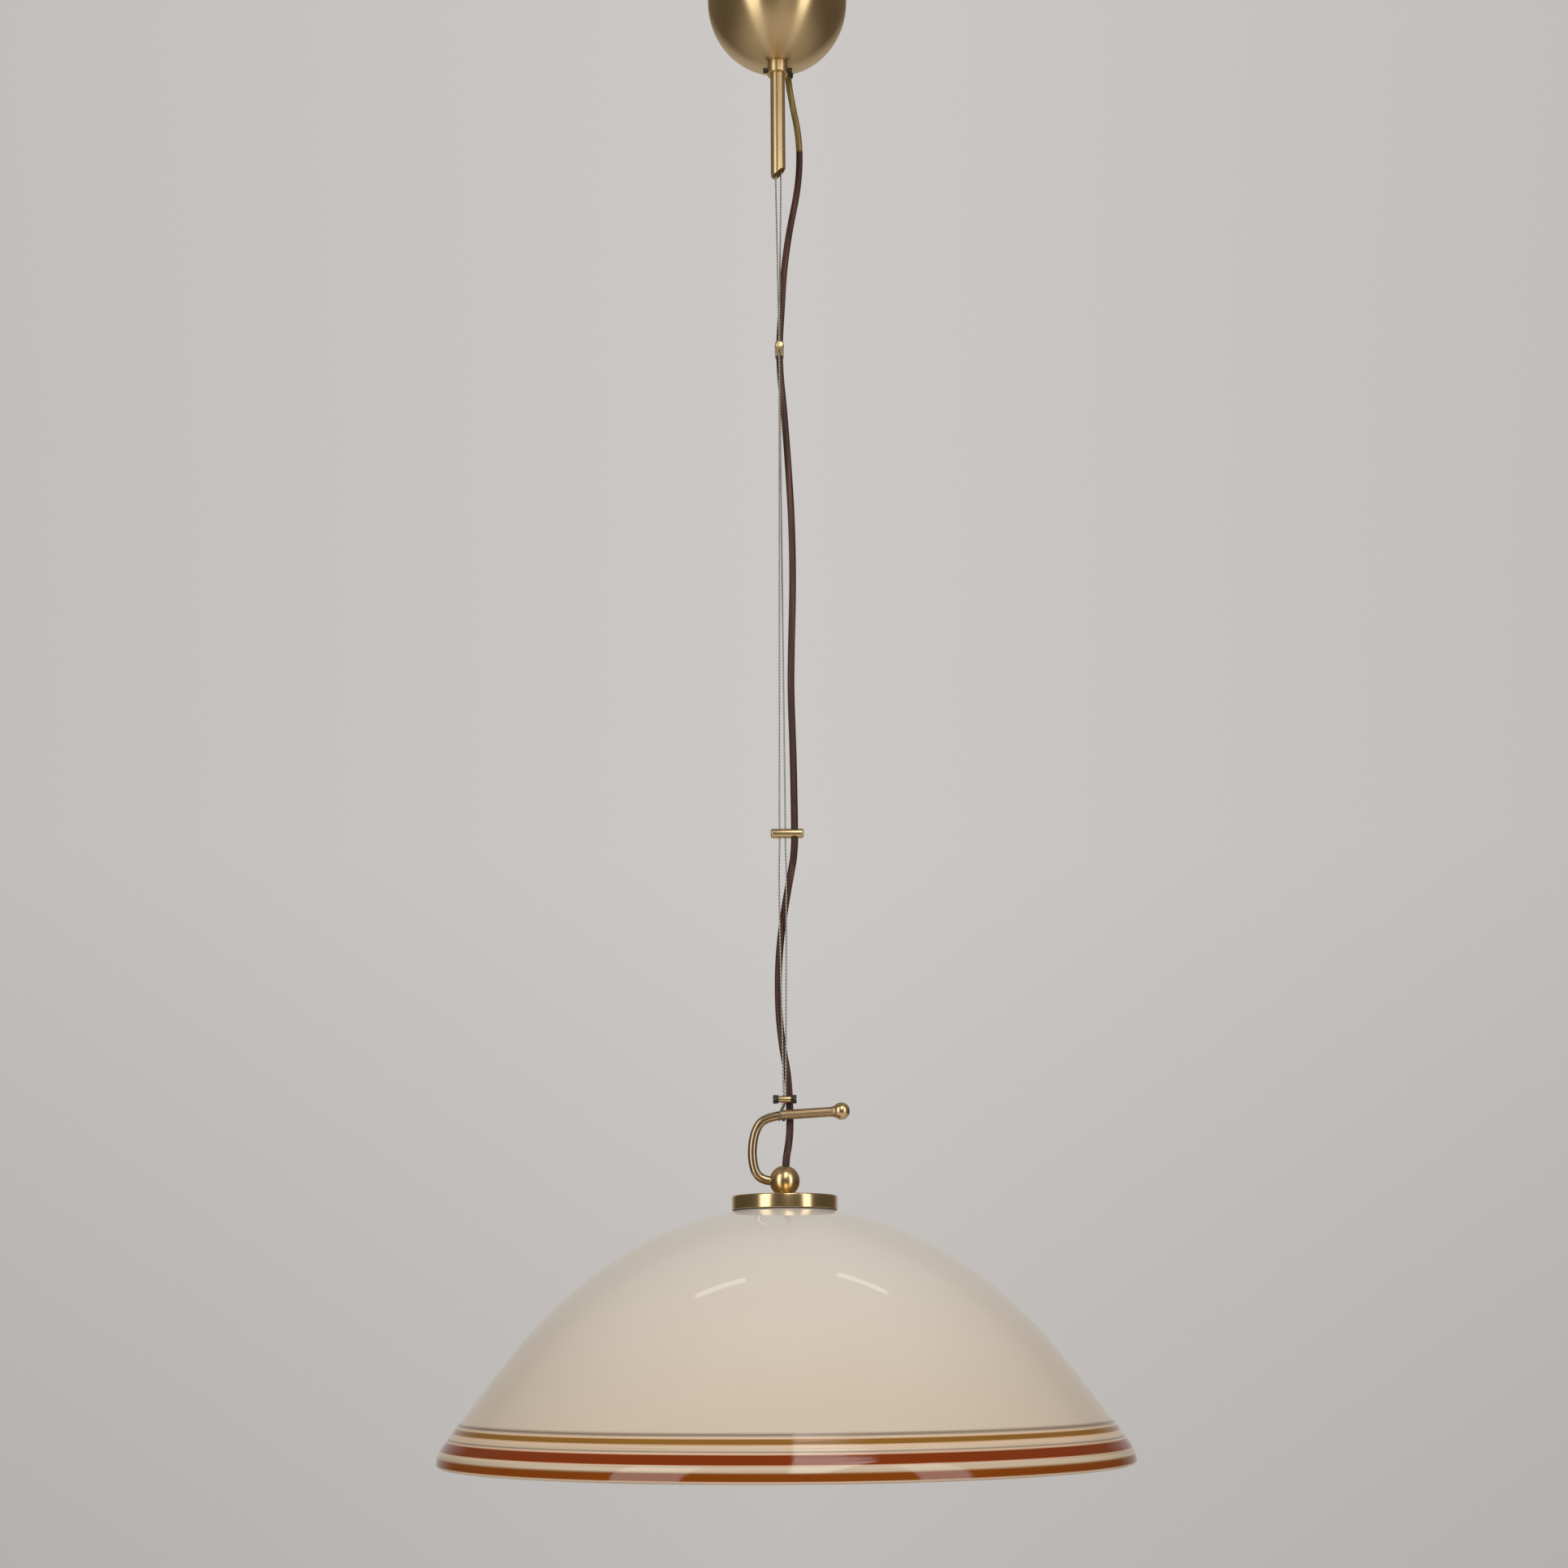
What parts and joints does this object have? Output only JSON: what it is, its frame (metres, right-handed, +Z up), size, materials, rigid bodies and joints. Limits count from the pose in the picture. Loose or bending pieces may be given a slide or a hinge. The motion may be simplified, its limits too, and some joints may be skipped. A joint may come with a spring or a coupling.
{
  "type": "rise and fall pendant",
  "caption": "Rise and fall pendant: a wide opal glass shade under a brass disc and hook, hung on two wires and a flex from a sprung reel in a domed ceiling canopy.",
  "frame": {"origin": "middle of the ceiling fitting, on the ceiling plane", "axes": "+Z up into the ceiling, +X towards the side the pull handle points to, -Y towards the viewer; drawn pulled fully down"},
  "size_m": [0.5014, 0.5014, 1.2379],
  "materials": {
    "satin_brass": "satin, brushed",
    "bright_brass": "polished",
    "blackened_steel": "blackened, slotted",
    "zinc_steel": "zinc plated",
    "spring_steel": "tempered",
    "wire_rope": "stranded",
    "reel_nylon": "moulded",
    "bush_bronze": "sintered",
    "brake_felt": "matt",
    "flex_sheath": "smooth sheath",
    "dark_bush": "moulded",
    "terminal_white": "moulded",
    "seal_rubber": "matt",
    "opal_glass": "opal, with clear and coloured bands at the rim",
    "lampholder_phenolic": "moulded",
    "insulator_white": "glazed",
    "contact_brass": "plated"
  },
  "bodies": {
    "fixed": {"ceiling_strap": "zinc_steel", "reel_frame": "zinc_steel", "frame_screws": "zinc_steel", "reel_axle": "zinc_steel", "axle_clips": "spring_steel", "spring_arbor": "reel_nylon", "brake_leaf": "spring_steel", "brake_pad": "brake_felt", "brake_screw": "zinc_steel", "leaf_rivet": "zinc_steel", "canopy_bowl": "satin_brass", "stem_tube": "satin_brass", "stem_nuts": "zinc_steel", "wire_guide": "reel_nylon", "canopy_collar": "satin_brass", "collar_screws": "blackened_steel", "cord_bush": "dark_bush", "terminal_block": "terminal_white", "terminal_screws": "zinc_steel", "cord_clip": "dark_bush", "clip_screw": "zinc_steel", "flex_inside": "flex_sheath", "wire_leads": "wire_rope", "suspension_wires": "wire_rope", "flex_run": "flex_sheath"},
    "drum": {"reel_drum": "reel_nylon", "drum_cover": "reel_nylon", "cover_screws": "zinc_steel", "axle_bushes": "bush_bronze", "spiral_spring": "spring_steel", "drum_wire_turns": "wire_rope"},
    "upper_bar": {"upper_spacer_bar": "satin_brass"},
    "lower_bar": {"lower_spacer_bar": "satin_brass"},
    "hanger": {"clamp_barrel": "satin_brass", "clamp_screws": "blackened_steel", "wire_eye": "wire_rope"},
    "lamp": {"hook_arm": "satin_brass", "handle_ball": "satin_brass", "junction_ball": "satin_brass", "disc_cap": "satin_brass", "hook_rod": "bright_brass", "nipple": "bright_brass", "spacer_sleeve": "bright_brass", "ball_washer": "bright_brass", "clamp_nut": "bright_brass", "arm_stop_screw": "blackened_steel", "support_plate": "zinc_steel", "holder_terminals": "zinc_steel", "flex_tail": "flex_sheath", "disc_seal": "seal_rubber", "upper_washer": "seal_rubber", "lower_washer": "seal_rubber", "glass_shade": "opal_glass", "lampholder_cap": "lampholder_phenolic", "lampholder_skirt": "lampholder_phenolic", "lampholder_core": "insulator_white", "socket_shell": "contact_brass", "centre_contact": "contact_brass"}
  },
  "joints": [
    {"name": "rise", "type": "slide", "parent": "fixed", "child": "hanger", "axis": [0, 0, 1], "range_m": [0, 0.5], "deforming": ["suspension_wires", "flex_run"]},
    {"name": "drum_turn", "type": "hinge", "parent": "fixed", "child": "drum", "pos_m": [0, 0.02, -0.03], "axis": [1, 0, 0], "range_deg": [-1435, 0]},
    {"name": "upper_bar_slide", "type": "slide", "parent": "fixed", "child": "upper_bar", "axis": [0, 0, 1], "range_m": [0, 0.1468]},
    {"name": "lower_bar_slide", "type": "slide", "parent": "fixed", "child": "lower_bar", "axis": [0, 0, 1], "range_m": [0, 0.3828]},
    {"name": "swing", "type": "hinge", "parent": "hanger", "child": "lamp", "pos_m": [-0.0037, 0, -0.9889], "axis": [1, 0, 0], "range_deg": [-15, 15], "deforming": ["flex_tail"]}
  ],
  "couplings": [
    {"joint": "drum_turn", "follows": "rise", "rad_per_m": -50},
    {"joint": "upper_bar_slide", "follows": "rise", "ratio": 0.2926},
    {"joint": "lower_bar_slide", "follows": "rise", "ratio": 0.7646}
  ]
}
